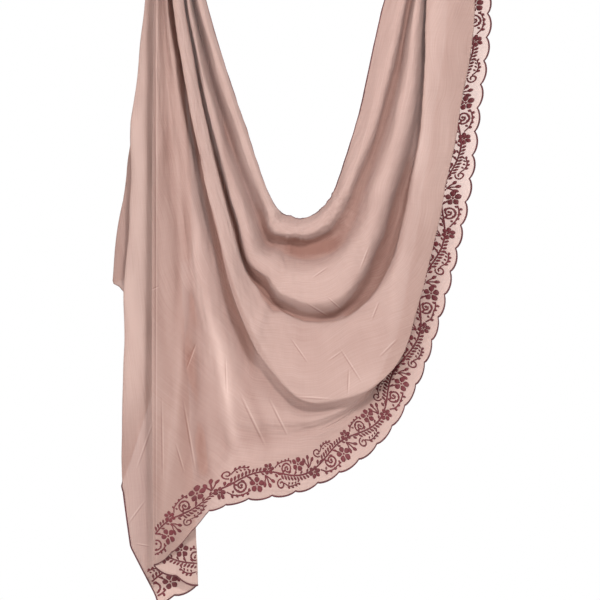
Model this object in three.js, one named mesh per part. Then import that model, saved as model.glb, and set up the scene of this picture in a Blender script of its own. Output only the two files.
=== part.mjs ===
// Hijab: a long rectangular scarf of semi-sheer cloth, hung from two gathered holds.
// A plain hemmed edge makes the inner U, a scalloped embroidered edge makes the outer line,
// and one end hangs behind the left hold in a folded tail.
// Millimetres. +Z is up, the front faces -Y, and the origin is the left hold.

import * as THREE from 'three';
import { mergeVertices } from 'three/addons/utils/BufferGeometryUtils.js';

// Driving dimensions
const WALL = 1.4;
const SEAM_GAP = 1.1;
const SEAM_PROBE = 0.1;
const NORMAL_PROBE = 0.04;
const HOLD_SPAN = 416;
const SCALLOP_PITCH = 38;
const SCALLOP_DEPTH = 6;
const STEPS_ACROSS_FOLD = 3;
const EDGE_STEPS = 4;
const TAIL_FACE_STEPS = 4;
const TAIL_LEAST_STEP = 3;

// Sections across the drape, in order from the left hold to the right hold.
// Each starts at (x, drop) and runs along (dx, dd); steps is the number of rows up to the next one.
const SECTIONS = [
  { name: 'hold_left',    x: 0,   drop: 0,   dx: 1,      dd: 0,     steps: 3, depth: 'hold_left' },
  { name: 'left_top',     x: 0,   drop: 128, dx: 1,      dd: 0,     steps: 4, depth: 'left' },
  { name: 'left_mid',     x: 0,   drop: 320, dx: 1,      dd: 0,     steps: 4, depth: 'left' },
  { name: 'left_low',     x: 0,   drop: 480, dx: 0.993,  dd: -0.119, steps: 5, depth: 'left' },
  { name: 'turn_in',      x: 179, drop: 478, dx: -0.588, dd: 0.809, steps: 5, depth: 'turn' },
  { name: 'tip',          x: 190, drop: 482, dx: -0.370, dd: 0.929, steps: 2, depth: 'turn' },
  { name: 'heel',         x: 195, drop: 482, dx: -0.314, dd: 0.949, steps: 2, depth: 'turn' },
  { name: 'bottom_left',  x: 200, drop: 480, dx: -0.245, dd: 0.970, steps: 4, depth: 'bottom' },
  { name: 'bottom',       x: 212, drop: 482, dx: 0,      dd: 1,     steps: 4, depth: 'bottom' },
  { name: 'bottom_right', x: 234, drop: 470, dx: 0.224,  dd: 0.975, steps: 3, depth: 'flank' },
  { name: 'flank',        x: 243, drop: 461, dx: 0.433,  dd: 0.902, steps: 4, depth: 'flank' },
  { name: 'turn_out',     x: 253, drop: 448, dx: 0.701,  dd: 0.713, steps: 4, depth: 'right' },
  { name: 'right_low',    x: 0,   drop: 430, dx: 1,      dd: 0,     steps: 3, depth: 'right' },
  { name: 'right_mid',    x: 0,   drop: 320, dx: 1,      dd: 0,     steps: 4, depth: 'right' },
  { name: 'right_top',    x: 0,   drop: 128, dx: 1,      dd: 0,     steps: 3, depth: 'right' },
  { name: 'hold_right',   x: 0,   drop: 0,   dx: 1,      dd: 0,     steps: 0, depth: 'hold_right' },
];

// Each fold line, from the plain hem to the scalloped edge: its distance along each section.
// Columns: hold_left, left_top, left_mid, left_low, turn_in, tip, heel, bottom_left, bottom,
// bottom_right, flank, turn_out, right_low, right_mid, right_top, hold_right
const FOLDS = {
  plain_hem:     [26, 54, 114, 168, -8, -8, -6.5, -4, -5, -4, -3, -2, 260, 296, 340, 384],
  inner_crest:   [22, 46, 107, 161, 11, 11, 10.8, 12.6, 9.5, 9, 9, 10, 276, 320, 368, 390],
  inner_valley:  [17, 34, 83, 136, 42, 36, 36, 37, 38, 44, 46, 42, 301, 341, 382, 396],
  middle_ridge:  [13, 26, 67, 110, 78, 83, 90, 100, 103, 110, 98, 84, 335, 368, 393, 402],
  middle_valley: [8, 21, 56, 94, 98, 112, 121, 132, 150, 165, 150, 128, 375, 402, 414, 411],
  panel_inner:   [3, 15, 50, 87, 109, 136, 144, 153, 171, 182, 176, 152, 385, 400, 408, 414],
  panel_outer:   [-1, 4, 35, 69, 134, 180, 196, 217, 276, 290, 272, 208, 437, 458, 483, 449],
  outer_valley:  [-6, 2, 33, 65, 151, 198, 218, 242, 296, 300, 264, 199, 423, 443, 467, 441],
  face_crest:    [-11, -8, 16, 36, 195, 260, 285, 312, 318, 305, 257, 188, 410, 429, 453, 432],
  face_trough:   [-16, -15, -3, 15, 232, 330, 366, 356, 336, 309, 251, 180, 403, 420, 442, 425],
  border_line:   [-20, -23, -23, -17, 296, 508, 450, 398, 355, 315, 256, 182, 408, 425, 446, 430],
  outer_edge:    [-25, -29, -31, -32, 359, 592, 529, 470, 427, 385, 326, 251, 474, 487, 505, 470],
};

// Depth of each fold line, positive away from the front, over the same stretches.
const DEPTH_COLUMNS = ['hold_left', 'left', 'turn', 'bottom', 'flank', 'right', 'hold_right'];
const DEPTHS = {
  plain_hem:     [3, 7, 16, 16, 16, 9, 4],
  inner_crest:   [-9, -16, -8, -8, -8, -8, -8],
  inner_valley:  [8, 14, 19, 19, 19, 14, 8],
  middle_ridge:  [-9, -14, -30, -34, -30, -12, -8],
  middle_valley: [8, 15, 14, 14, 19, 23, 11],
  panel_inner:   [-12, -24, -19, -14, -14, -19, -11],
  panel_outer:   [-12, -27, -35, -35, -27, -19, -14],
  outer_valley:  [7, 11, 0, -8, -5, -4, -3],
  face_crest:    [-8, -5, -14, -22, 3, 4, 4],
  face_trough:   [4, 3, -1, -14, 11, 14, 11],
  border_line:   [-7, -8, -11, -19, 14, 23, 18],
  outer_edge:    [1, 0, -3, -16, -11, 3, 3],
};

// The tail behind the left hold, by the drop below it: where its folds turn back to the right
// or to the left, how far along the folded cloth it reaches, and the rows up to the next one.
const TAIL = [
  { drop: 0,    right1: 2,  left1: -26, right2: 3,  left2: -25, right3: 6,  reach: 132, steps: 4 },
  { drop: 128,  right1: 0,  left1: -45, right2: 6,  left2: -42, right3: 36, reach: 236, steps: 6 },
  { drop: 320,  right1: 3,  left1: -66, right2: 10, left2: -64, right3: 48, reach: 356, steps: 3 },
  { drop: 416,  right1: 6,  left1: -68, right2: 13, left2: -79, right3: 54, reach: 408, steps: 4 },
  { drop: 542,  right1: 13, left1: -75, right2: 10, left2: -95, right3: 54, reach: 462, steps: 4 },
  { drop: 584,  right1: 14, left1: -77, right2: 8,  left2: -99, right3: 54, reach: 332, steps: 4 },
  { drop: 653,  right1: 18, left1: -78, right2: 6,  left2: -99, right3: 54, reach: 278, steps: 6 },
  { drop: 680,  right1: 19, left1: -78, right2: 5,  left2: -99, right3: 54, reach: 233, steps: 4 },
  { drop: 768,  right1: 26, left1: -81, right2: 5,  left2: -99, right3: 54, reach: 219, steps: 4 },
  { drop: 864,  right1: 30, left1: -83, right2: 5,  left2: -99, right3: 54, reach: 199, steps: 4 },
  { drop: 917,  right1: 34, left1: -83, right2: 5,  left2: -99, right3: 54, reach: 186, steps: 4 },
  { drop: 1005, right1: 38, left1: -86, right2: 5,  left2: -99, right3: 54, reach: 180, steps: 4 },
  { drop: 1093, right1: 40, left1: -86, right2: 5,  left2: -99, right3: 54, reach: 138, steps: 0 },
];
const TAIL_START_DEPTH = WALL + 0.5;
const TAIL_LAYER_DEPTHS = { right1: 24, left1: 37, right2: 50, left2: 62, right3: 73 };
const TAIL_TURN = 8;
const TAIL_TIP_RISE = 0.055;
const TAIL_RISE_START = 700;

const FOLD_NAMES = Object.keys(FOLDS);
const LAST_FOLD = FOLD_NAMES.length - 1;
const LAST_SECTION = SECTIONS.length - 1;
const sectionIndex = (name) => SECTIONS.findIndex((section) => section.name === name);
const TIP_SECTION = sectionIndex('tip');

// The point where one fold line crosses one section.
function foldPoint(foldName, index) {
  const section = SECTIONS[index];
  const along = FOLDS[foldName][index];
  const depth = DEPTHS[foldName][DEPTH_COLUMNS.indexOf(section.depth)];
  const drop = section.drop + along * section.dd;
  return new THREE.Vector3(section.x + along * section.dx, depth, -drop);
}

// A smooth curve through the points, read by point number: 2.5 is halfway from point 2 to point 3.
function curveByNumber(points) {
  const curve = new THREE.CatmullRomCurve3(points, false, 'centripetal');
  return (number) => curve.getPoint(number / (points.length - 1));
}

// The outer edge has a corner at the tip, where the fold of the front face meets the scallops.
function foldCurve(foldName) {
  const points = SECTIONS.map((section, index) => foldPoint(foldName, index));
  if (foldName !== 'outer_edge') return curveByNumber(points);
  const face = curveByNumber(points.slice(0, TIP_SECTION + 1));
  const scallops = curveByNumber(points.slice(TIP_SECTION));
  return (number) => (number <= TIP_SECTION ? face(number) : scallops(number - TIP_SECTION));
}

const FOLD_CURVES = FOLD_NAMES.map(foldCurve);
const outerEdge = FOLD_CURVES[LAST_FOLD];

// The front cloth at a section number and a fold number, whole or between.
function frontRow(sectionNumber) {
  return curveByNumber(FOLD_CURVES.map((curve) => curve(sectionNumber)));
}

// Length along the outer edge from the tip, in small steps, for even scallops.
function edgeLengths() {
  const count = 400;
  const lengths = [0];
  let last = outerEdge(TIP_SECTION);
  for (let i = 1; i <= count; i += 1) {
    const point = outerEdge(TIP_SECTION + (i / count) * (LAST_SECTION - TIP_SECTION));
    lengths.push(lengths[i - 1] + point.distanceTo(last));
    last = point;
  }
  return (sectionNumber) => {
    const place = ((sectionNumber - TIP_SECTION) / (LAST_SECTION - TIP_SECTION)) * count;
    const low = Math.max(0, Math.min(count - 1, Math.floor(place)));
    return lengths[low] + (lengths[low + 1] - lengths[low]) * (place - low);
  };
}

const edgeLength = edgeLengths();
const scallop = (length) => SCALLOP_DEPTH * Math.abs(Math.sin((Math.PI * length) / SCALLOP_PITCH)) ** 0.7;

// A point on the scalloped line, pushed out from the edge along the cloth.
function scallopPoint(sectionNumber) {
  const row = frontRow(sectionNumber);
  const edge = row(LAST_FOLD);
  if (sectionNumber <= TIP_SECTION) return edge;
  const outward = edge.clone().sub(row(LAST_FOLD - 0.2)).normalize();
  return edge.addScaledVector(outward, scallop(edgeLength(sectionNumber)));
}

// The direction square to the front cloth, from its slopes along and across.
function frontNormal(sectionNumber, foldNumber) {
  const along = [-NORMAL_PROBE, NORMAL_PROBE].map((step) => {
    const number = THREE.MathUtils.clamp(sectionNumber + step, 0, LAST_SECTION);
    return frontRow(number)(foldNumber);
  });
  const row = frontRow(sectionNumber);
  const across = [-NORMAL_PROBE, NORMAL_PROBE].map((step) => (
    row(THREE.MathUtils.clamp(foldNumber + step, 0, LAST_FOLD))));
  return along[1].sub(along[0]).cross(across[1].sub(across[0])).normalize();
}

// The directions square to an open sheet of triangles, each the mean of the faces round a point.
function sheetNormals(points, triangles) {
  const sheet = new THREE.BufferGeometry();
  sheet.setAttribute('position', new THREE.Float32BufferAttribute(points.flatMap((p) => [p.x, p.y, p.z]), 3));
  sheet.setIndex(triangles.flat());
  sheet.computeVertexNormals();
  const normal = sheet.getAttribute('normal');
  return points.map((_, i) => new THREE.Vector3().fromBufferAttribute(normal, i));
}

// Gives an open sheet its thickness, half to each side, and closes its rim.
function thicken(points, triangles, normals) {
  const count = points.length;
  const positions = [];
  for (const side of [0.5, -0.5]) {
    points.forEach((point, i) => {
      const moved = point.clone().addScaledVector(normals[i], side * WALL);
      positions.push(moved.x, moved.y, moved.z);
    });
  }
  const directed = new Set(triangles.flatMap(([a, b, c]) => [`${a},${b}`, `${b},${c}`, `${c},${a}`]));
  const faces = triangles.flatMap(([a, b, c]) => [a, b, c, a + count, c + count, b + count]);
  for (const edge of directed) {
    const [a, b] = edge.split(',').map(Number);
    if (!directed.has(`${b},${a}`)) faces.push(b, a, a + count, b, a + count, b + count);
  }
  const solid = new THREE.BufferGeometry();
  solid.setAttribute('position', new THREE.Float32BufferAttribute(positions, 3));
  solid.setIndex(faces);
  return mergeVertices(solid);
}

// Triangles of a grid with the given numbers of rows and columns of points.
function gridTriangles(rows, columns) {
  const triangles = [];
  for (let i = 0; i + 1 < rows; i += 1) {
    for (let j = 0; j + 1 < columns; j += 1) {
      const corner = i * columns + j;
      triangles.push([corner, corner + columns, corner + 1]);
      triangles.push([corner + 1, corner + columns, corner + columns + 1]);
    }
  }
  return triangles;
}

// Section numbers of the rows of one stretch. The two falls stop a seam short of the swag.
function stretchRows({ from, to, seam }) {
  const [first, last] = [sectionIndex(from), sectionIndex(to)];
  const numbers = [];
  for (let i = first; i < last; i += 1) {
    for (let k = 0; k < SECTIONS[i].steps; k += 1) numbers.push(i + k / SECTIONS[i].steps);
  }
  numbers.push(last);
  const middle = FOLD_CURVES[Math.round(LAST_FOLD / 2)];
  const short = (end, step) => end + (SEAM_GAP / middle(end).distanceTo(middle(end + step))) * step;
  if (seam === from) numbers[0] = short(first, SEAM_PROBE);
  if (seam === to) numbers[numbers.length - 1] = short(last, -SEAM_PROBE);
  return numbers;
}

// One stretch of the front cloth. Past the tip its last column follows the scallops in finer steps.
function frontStretch(stretch) {
  const numbers = stretchRows(stretch);
  const columns = LAST_FOLD * STEPS_ACROSS_FOLD;
  const points = [];
  const normals = [];
  for (const number of numbers) {
    const row = frontRow(number);
    for (let j = 0; j < columns; j += 1) {
      points.push(row(j / STEPS_ACROSS_FOLD));
      normals.push(frontNormal(number, j / STEPS_ACROSS_FOLD));
    }
  }
  const triangles = gridTriangles(numbers.length, columns);
  points.push(scallopPoint(numbers[0]));
  normals.push(frontNormal(numbers[0], LAST_FOLD));
  for (let i = 0; i + 1 < numbers.length; i += 1) {
    const here = (i + 1) * columns - 1;
    const next = here + columns;
    const steps = numbers[i + 1] > TIP_SECTION ? EDGE_STEPS : 1;
    for (let k = 1; k <= steps; k += 1) {
      const number = numbers[i] + ((numbers[i + 1] - numbers[i]) * k) / steps;
      points.push(scallopPoint(number));
      normals.push(frontNormal(number, LAST_FOLD));
      const edge = points.length - 1;
      const inner = k <= steps / 2 ? here : next;
      triangles.push([inner, edge, edge - 1]);
      if (k === Math.ceil((steps + 1) / 2)) triangles.push([here, next, edge - 1]);
    }
  }
  return thicken(points, triangles, normals);
}

// A value of one column of the tail's table at a drop, straight between its rows.
function tailValue(column, drop) {
  const upper = Math.max(0, TAIL.findLastIndex((row) => row.drop <= drop));
  const low = Math.min(upper, TAIL.length - 2);
  const [a, b] = [TAIL[low], TAIL[low + 1]];
  return a[column] + ((b[column] - a[column]) * (drop - a.drop)) / (b.drop - a.drop);
}

// The front face's fold at a drop, found by halving along the outer edge's straight part.
function ridgeAt(drop) {
  let [low, high] = [0, TIP_SECTION];
  for (let i = 0; i < 30; i += 1) {
    const middle = (low + high) / 2;
    if (-outerEdge(middle).z < drop) low = middle;
    else high = middle;
  }
  return outerEdge((low + high) / 2);
}

// The folded cloth of the tail, seen from above at one drop: a zigzag with round turns.
// Its points stand at fixed places of the folds, and the last one is where the cloth ends.
function tailSection(drop) {
  const ridge = ridgeAt(drop);
  const path = [new THREE.Vector3(ridge.x, ridge.y + TAIL_START_DEPTH, 0)];
  for (const [name, depth] of Object.entries(TAIL_LAYER_DEPTHS)) {
    const x = tailValue(name, drop);
    const inward = name.startsWith('left') ? 1 : -1;
    path.push(new THREE.Vector3(x + inward * TAIL_TURN, depth - TAIL_TURN / 2, 0));
    path.push(new THREE.Vector3(x, depth, 0));
    path.push(new THREE.Vector3(x + inward * TAIL_TURN, depth + TAIL_TURN / 2, 0));
  }
  const curve = curveByNumber(path);
  const reach = tailValue('reach', drop);
  const points = [path[0]];
  const lengths = [0];
  let length = 0;
  for (let number = 0; number + 1 < path.length; number += 1) {
    const steps = number % 3 === 0 ? TAIL_FACE_STEPS : 1;
    for (let k = 1; k <= steps; k += 1) {
      const last = points[points.length - 1];
      const next = curve(number + k / steps);
      const stride = next.distanceTo(last);
      if (length + stride >= reach) {
        const end = last.clone().lerp(next, (reach - length) / stride);
        const kept = reach - length < TAIL_LEAST_STEP ? points.length - 1 : points.length;
        const shares = [...lengths.slice(0, kept).map((l) => l / reach), 1];
        return { points: [...points.slice(0, kept), end], shares };
      }
      length += stride;
      lengths.push(length);
      points.push(next);
    }
  }
  return { points, shares: lengths.map((l) => l / reach) };
}

// The tail: rows of sections that slope a little to follow its scalloped lower edge.
// Rows that end sooner share their last point with the longer rows' further columns.
function tailSheet() {
  const drops = [];
  for (let i = 0; i + 1 < TAIL.length; i += 1) {
    const [a, b] = [TAIL[i].drop, TAIL[i + 1].drop];
    for (let k = 0; k < TAIL[i].steps; k += 1) drops.push(a + ((b - a) * k) / TAIL[i].steps);
  }
  const lowest = TAIL[TAIL.length - 1].drop;
  drops.push(lowest);
  const points = [];
  const rows = drops.map((drop) => {
    const blend = THREE.MathUtils.smoothstep(drop, TAIL_RISE_START, lowest);
    const section = tailSection(drop);
    const indices = section.points.map((place, j) => {
      const level = drop * (1 - TAIL_TIP_RISE * blend * (1 - section.shares[j]));
      points.push(new THREE.Vector3(place.x, place.y, -level));
      return points.length - 1;
    });
    return (j) => indices[Math.min(j, indices.length - 1)];
  });
  const columns = (TAIL_FACE_STEPS + 2) * Object.keys(TAIL_LAYER_DEPTHS).length;
  const triangles = [];
  for (let i = 0; i + 1 < rows.length; i += 1) {
    for (let j = 0; j < columns; j += 1) {
      const [a, b, c, d] = [rows[i](j), rows[i + 1](j), rows[i](j + 1), rows[i + 1](j + 1)];
      if (a !== c) triangles.push([a, b, c]);
      if (b !== d) triangles.push([c, b, d]);
    }
  }
  return thicken(points, triangles, sheetNormals(points, triangles));
}

// The colours are the cloth's own dusty rose, a shade apart to tell the stretches from each other.
const clothMaterial = (colour) => new THREE.MeshStandardMaterial({ color: colour, roughness: 0.85, metalness: 0 });

const STRETCHES = [
  { name: 'left_fall', from: 'hold_left', to: 'left_low', seam: 'left_low', colour: '#c9a79c' },
  { name: 'swag', from: 'left_low', to: 'right_low', colour: '#cfaea2' },
  { name: 'right_fall', from: 'right_low', to: 'hold_right', seam: 'right_low', colour: '#c4a096' },
];

const hijab = new THREE.Group();
for (const stretch of STRETCHES) {
  const mesh = new THREE.Mesh(frontStretch(stretch), clothMaterial(stretch.colour));
  mesh.name = stretch.name;
  hijab.add(mesh);
}
const tail = new THREE.Mesh(tailSheet(), clothMaterial('#b8958b'));
tail.name = 'tail';
hijab.add(tail);

export default hijab;
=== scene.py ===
"""Hijab: a long scarf of semi-sheer cloth, hung from two holds, with a scalloped, embroidered edge."""
import math

import bmesh
import bpy
import mathutils
import numpy as np
from bpy.props import FloatProperty, FloatVectorProperty, PointerProperty
from bpy.types import Operator, Panel, PropertyGroup
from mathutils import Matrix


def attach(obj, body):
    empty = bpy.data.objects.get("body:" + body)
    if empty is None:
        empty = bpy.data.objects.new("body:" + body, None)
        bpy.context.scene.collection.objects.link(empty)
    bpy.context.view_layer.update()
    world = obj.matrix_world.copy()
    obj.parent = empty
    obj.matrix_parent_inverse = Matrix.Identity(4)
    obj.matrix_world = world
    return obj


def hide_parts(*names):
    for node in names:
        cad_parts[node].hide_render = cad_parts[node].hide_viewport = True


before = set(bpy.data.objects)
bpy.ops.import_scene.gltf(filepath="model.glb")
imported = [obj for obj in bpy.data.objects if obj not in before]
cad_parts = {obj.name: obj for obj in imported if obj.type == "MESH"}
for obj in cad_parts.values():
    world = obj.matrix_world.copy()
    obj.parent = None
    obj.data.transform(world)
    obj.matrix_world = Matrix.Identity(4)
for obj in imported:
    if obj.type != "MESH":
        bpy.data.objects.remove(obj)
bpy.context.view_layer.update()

bl_info = {
    "name": "Draped hijab",
    "version": (1, 0, 0),
    "blender": (4, 5, 0),
    "location": "View3D > Sidebar > Hijab",
    "description": "Makes a draped scarf with a scalloped, embroidered edge",
    "category": "Add Mesh",
}

MM = 0.001

# The three pieces of the front cloth, and the cut of each and of the tail: width and length in metres.
FRONT_PARTS = [
    # piece              node          first section  last section  cut
    ("left_fall_cloth",  "left_fall",  "hold_left",   "left_low",   (0.27, 0.49)),
    ("swag_cloth",       "swag",       "left_low",    "right_low",  (0.45, 0.64)),
    ("right_fall_cloth", "right_fall", "right_low",   "hold_right", (0.36, 0.44)),
]

# Camera and studio, in metres, but for the sensor, in millimetres.
CENTRE = (0.2048, 0.0, -0.608)
PHOTO_WIDTH = 0.96
CAMERA_DISTANCE = 6.0
SENSOR = 36.0
FLOOR = (-2.0, 2.4, -3.0, 1.2, -1.25)
LIGHTS = [
    # name          place                size  watts
    ("key_light",   (0.9, -2.7, 1.5),    0.5,  94.0),
    ("fill_light",  (-1.9, -2.3, 0.1),   1.6,  40.0),
    ("back_light",  (0.9, 2.4, 0.8),     1.8,  78.0),
]
WARM = (1.0, 0.98, 0.96)
AMBIENT = 0.66
AMBIENT_COLOUR = (1.0, 0.88, 0.85)

# Sections across the drape: where each starts, which way it runs (x, drop), and the depth column that
# it uses. The row counts are those of the mesh between one section and the next, up to the tip.
SECTIONS = [
    # name            x    drop   dx      dd      depth
    ("hold_left",     0,   0,     1.0,    0.0,    0),
    ("left_top",      0,   128,   1.0,    0.0,    1),
    ("left_mid",      0,   320,   1.0,    0.0,    1),
    ("left_low",      0,   480,   0.993,  -0.119, 1),
    ("turn_in",       179, 478,   -0.588, 0.809,  2),
    ("tip",           190, 482,   -0.370, 0.929,  2),
    ("heel",          195, 482,   -0.314, 0.949,  2),
    ("bottom_left",   200, 480,   -0.245, 0.970,  3),
    ("bottom",        212, 482,   0.0,    1.0,    3),
    ("bottom_right",  234, 470,   0.224,  0.975,  4),
    ("flank",         243, 461,   0.433,  0.902,  4),
    ("turn_out",      253, 448,   0.701,  0.713,  5),
    ("right_low",     0,   430,   1.0,    0.0,    5),
    ("right_mid",     0,   320,   1.0,    0.0,    5),
    ("right_top",     0,   128,   1.0,    0.0,    5),
    ("hold_right",    0,   0,     1.0,    0.0,    6),
]
ROWS_TO_TIP = (26, 36, 34, 48, 48)
SECTION_NAMES = [row[0] for row in SECTIONS]
TIP = SECTION_NAMES.index("tip")
LAST_SECTION = len(SECTIONS) - 1

# Fold lines from the plain hem to the scalloped edge. The first list is the distance along each
# section. The second is the depth, positive away from the front, at the left hold, the left leg,
# the turn, the bottom, the flank, the right leg and the right hold.
FOLDS = {
    "plain_hem": ([26, 54, 114, 168, -8, -8, -6.5, -4, -5, -4, -3, -2, 260, 296, 340, 384],
                  [3, 7, 16, 16, 16, 9, 4]),
    "inner_crest": ([22, 46, 107, 161, 11, 11, 10.8, 12.6, 9.5, 9, 9, 10, 276, 320, 368, 390],
                    [-9, -16, -8, -8, -8, -8, -8]),
    "inner_valley": ([17, 34, 83, 136, 42, 36, 36, 37, 38, 44, 46, 42, 301, 341, 382, 396],
                     [8, 14, 19, 19, 19, 14, 8]),
    "middle_ridge": ([13, 26, 67, 110, 78, 83, 90, 100, 103, 110, 98, 84, 335, 368, 393, 402],
                     [-9, -14, -22, -24, -26, -12, -8]),
    "middle_valley": ([8, 21, 56, 94, 98, 112, 121, 132, 150, 165, 150, 128, 375, 402, 414, 411],
                      [8, 9, 3, 4, 14, 23, 11]),
    "panel_inner": ([3, 15, 50, 87, 109, 136, 144, 153, 171, 182, 176, 152, 385, 400, 408, 414],
                    [-12, -24, -19, -14, -14, -19, -11]),
    "panel_outer": ([-1, 4, 35, 69, 134, 180, 196, 217, 276, 290, 272, 208, 437, 458, 483, 449],
                    [-12, -27, -35, -30, -25, -19, -14]),
    "outer_valley": ([-6, 2, 33, 65, 151, 198, 218, 242, 296, 300, 264, 199, 423, 443, 467, 441],
                     [7, 11, 0, -8, -5, -4, -3]),
    "face_crest": ([-11, -8, 16, 36, 195, 260, 285, 312, 318, 305, 257, 188, 410, 429, 453, 432],
                   [-8, -5, -14, -22, 3, 4, 4]),
    "face_trough": ([-16, -15, -3, 15, 232, 330, 366, 356, 336, 309, 251, 180, 403, 420, 442, 425],
                    [4, 3, -1, -14, 11, 14, 11]),
    "border_line": ([-20, -23, -23, -17, 296, 508, 450, 398, 355, 315, 256, 182, 408, 425, 446, 430],
                    [-7, -8, -11, -19, 14, 23, 18]),
    "outer_edge": ([-25, -29, -31, -32, 359, 592, 529, 470, 427, 385, 326, 251, 474, 487, 505, 470],
                   [1, 0, -3, -16, -11, 3, 3]),
}
LAST_FOLD = len(FOLDS) - 1

# Between each fold line and the next: the power for its depth, a row for each section number given,
# and how far the wall is squeezed, the same in every section.
CRISP_AT = [3.0, 6.0, 9.0, 11.0]
CRISP = np.array([
    [1.0, 1.8, 0.75, 1.7, 0.65, 1.0, 2.0, 1.4, 1.0, 1.0, 1.0],
    [1.0, 2.8, 0.75, 3.2, 0.65, 1.0, 1.6, 1.2, 1.0, 1.0, 1.0],
    [1.0, 2.8, 0.75, 3.2, 0.65, 1.0, 1.0, 1.0, 1.0, 1.0, 1.0],
    [1.0, 1.1, 0.75, 1.0, 0.65, 1.0, 1.0, 1.0, 1.0, 1.0, 1.0],
])
STEEP = np.array([0.0, 0.08, 0.04, 0.08, 0.15, 0.0, 0.12, 0.04, 0.0, 0.0, 0.0])

# Bands of painted shade in the cloth's colour, where a fold's shade falls, by section number: how dark,
# and the fold numbers between which each lies. Last comes how soft the painted shade's start and end are.
SHADE_AT = [0, 1, 2, 3, 4, 5, 7, 8, 9, 10, 11, 12, 13, 14, 15]
PAINTED_SHADES = {
    "inner": ([0.3, 0.35, 0.45, 0.7, 0.8, 0.9, 1.0, 1.0, 0.95, 0.8, 0.7, 0.65, 0.62, 0.6, 0.5],
              [1.65, 1.65, 1.75, 1.6, 1.65, 1.7, 1.75, 1.8, 1.8, 1.75, 1.6, 1.6, 1.6, 1.55, 1.5],
              [2.4, 2.5, 2.4, 2.2, 2.25, 2.3, 2.35, 2.4, 2.4, 2.5, 2.6, 2.6, 2.6, 2.5, 2.4],
              0.10, 0.42),
    "middle": ([0.35, 0.35, 0.45, 0.7, 0.9, 0.95, 0.9, 0.75, 0.75, 0.85, 0.8, 0.75, 0.65, 0.55, 0.5],
               [3.6, 3.6, 3.65, 3.45, 3.15, 3.4, 3.85, 3.75, 3.6, 3.4, 3.4, 3.5, 3.5, 3.5, 3.5],
               [4.9, 4.9, 4.75, 4.2, 4.2, 4.85, 5.0, 4.35, 4.1, 4.75, 4.95, 4.95, 4.95, 4.9, 4.9],
               0.45, 0.10),
    "outer": ([0.5, 0.6, 0.75, 1.0, 1.0, 0.85, 0.5, 0.15, 0.0, 0.0, 0.0, 0.0, 0.0, 0.0, 0.0],
              [6.95, 6.95, 6.8, 6.1, 6.0, 5.95, 6.0, 6.3, 6.4, 6.4, 6.4, 6.4, 6.4, 6.4, 6.4],
              [7.5, 7.5, 7.35, 7.3, 7.25, 7.4, 7.5, 7.6, 7.5, 7.3, 7.3, 7.3, 7.3, 7.3, 7.3],
              0.08, 0.40),
    "under": ([0.3, 0.25, 0.15, 0.1, 0.0, 0.0, 0.0, 0.0, 0.0, 0.1, 0.3, 0.5, 0.5, 0.5, 0.5],
              [8.4, 8.4, 8.4, 8.6, 8.6, 8.6, 8.0, 8.0, 8.0, 7.0, 6.6, 6.5, 6.5, 6.5, 6.5],
              [9.6, 9.6, 9.6, 9.6, 9.6, 9.6, 9.5, 9.5, 9.5, 9.3, 9.3, 9.3, 9.3, 9.3, 9.3],
              0.30, 0.40),
}

# Soft strokes of painted light and painted shade in the cloth's colour, each a line and a half width as
# the creases have, and how dark.
PAINTED_STROKES = [
    # x1, drop1, x2, drop2, width, dark
    (-26, 160, -26, 1000, 6.0, -0.40), (-4, 330, 2, 760, 12.0, 0.34), (12, 420, 30, 640, 8.0, 0.45),
    (16, 480, 54, 800, 9.0, 0.34), (60, 640, 96, 900, 8.0, -0.30), (40, 480, 58, 660, 8.0, -0.50),
    (56, 620, 86, 800, 9.0, -0.46), (46, 560, 62, 1020, 17.0, 0.60), (66, 150, 168, 500, 9.0, -0.36),
    (436, 110, 408, 500, 15.0, -0.40), (104, 720, 156, 860, 9.0, 0.44), (86, 730, 122, 870, 8.0, -0.34),
    (130, 690, 190, 800, 8.0, -0.24), (-12, 760, -8, 1000, 9.0, 0.22), (14, 700, 24, 960, 7.0, -0.30),
    (150, 800, 230, 800, 12.0, 0.12), (200, 560, 250, 545, 12.0, 0.12), (176, 527, 278, 514, 10.0, 0.50),
    (262, 700, 330, 650, 14.0, 0.16), (84, 330, 104, 440, 5.0, 0.30), (428, 230, 420, 470, 11.0, -0.26),
    (404, 380, 380, 560, 9.0, 0.16), (270, 760, 340, 720, 12.0, -0.20), (46, 800, 64, 910, 11.0, 0.62),
    (80, 850, 170, 822, 14.0, 0.24), (112, 340, 148, 470, 8.0, -0.34),
]

# The painted shade in the cloth's colour: the shares of the painted bands above, of the depth behind its
# neighbours and of the creases, how deep a full valley is, how much wider than a crease its painted shade
# is, how much painted light the see-through border gets, how strongly the painted shade darkens the
# colour, and the share of light that comes through.
BANDS_SHARE = 0.8
BEHIND_SHARE = 0.25
CREASE_SHADE = 0.05
VALLEY_DEPTH = 14.0
CREASE_SHADE_WIDTH = 1.7
BORDER_PAINTED_LIGHT = 0.9
PAINTED_SHADE_CONTRAST = 0.42
LIT_THROUGH = 0.22

# The see-through border of the front cloth: the fold numbers over which it begins on the right leg and
# elsewhere, its share elsewhere, and the section numbers over which the one gives way to the other.
RIGHT_BORDER = (9.4, 10.0)
LEFT_BORDER = (10.3, 11.0)
LEFT_BORDER_SHARE = 0.35
BORDER_CHANGE = (10.5, 12.5)

# Where the front cloth is creased: over which section numbers this begins and ends, over which fold
# numbers it ends, and how squarely a place has to face the front. The normals point to the back.
CREASED_FROM = (0.4, 1.6)
CREASED_TO = (14.3, 14.9)
CREASED_FOLDS = (10.2, 10.8)
FACING = 0.35

# Slow unevenness of the front cloth and of the tail, each row a height, a stretch, a seed and a wave
# length, and the mean distance between two fold lines.
FRONT_WAVES = ((0.7, 2.2, 3, 90.0), (0.35, 3.0, 5, 34.0))
TAIL_WAVES = ((1.1, 0.22, 11, 46.0), (0.5, 0.3, 13, 22.0))
MEAN_FOLD = 40.0

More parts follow.
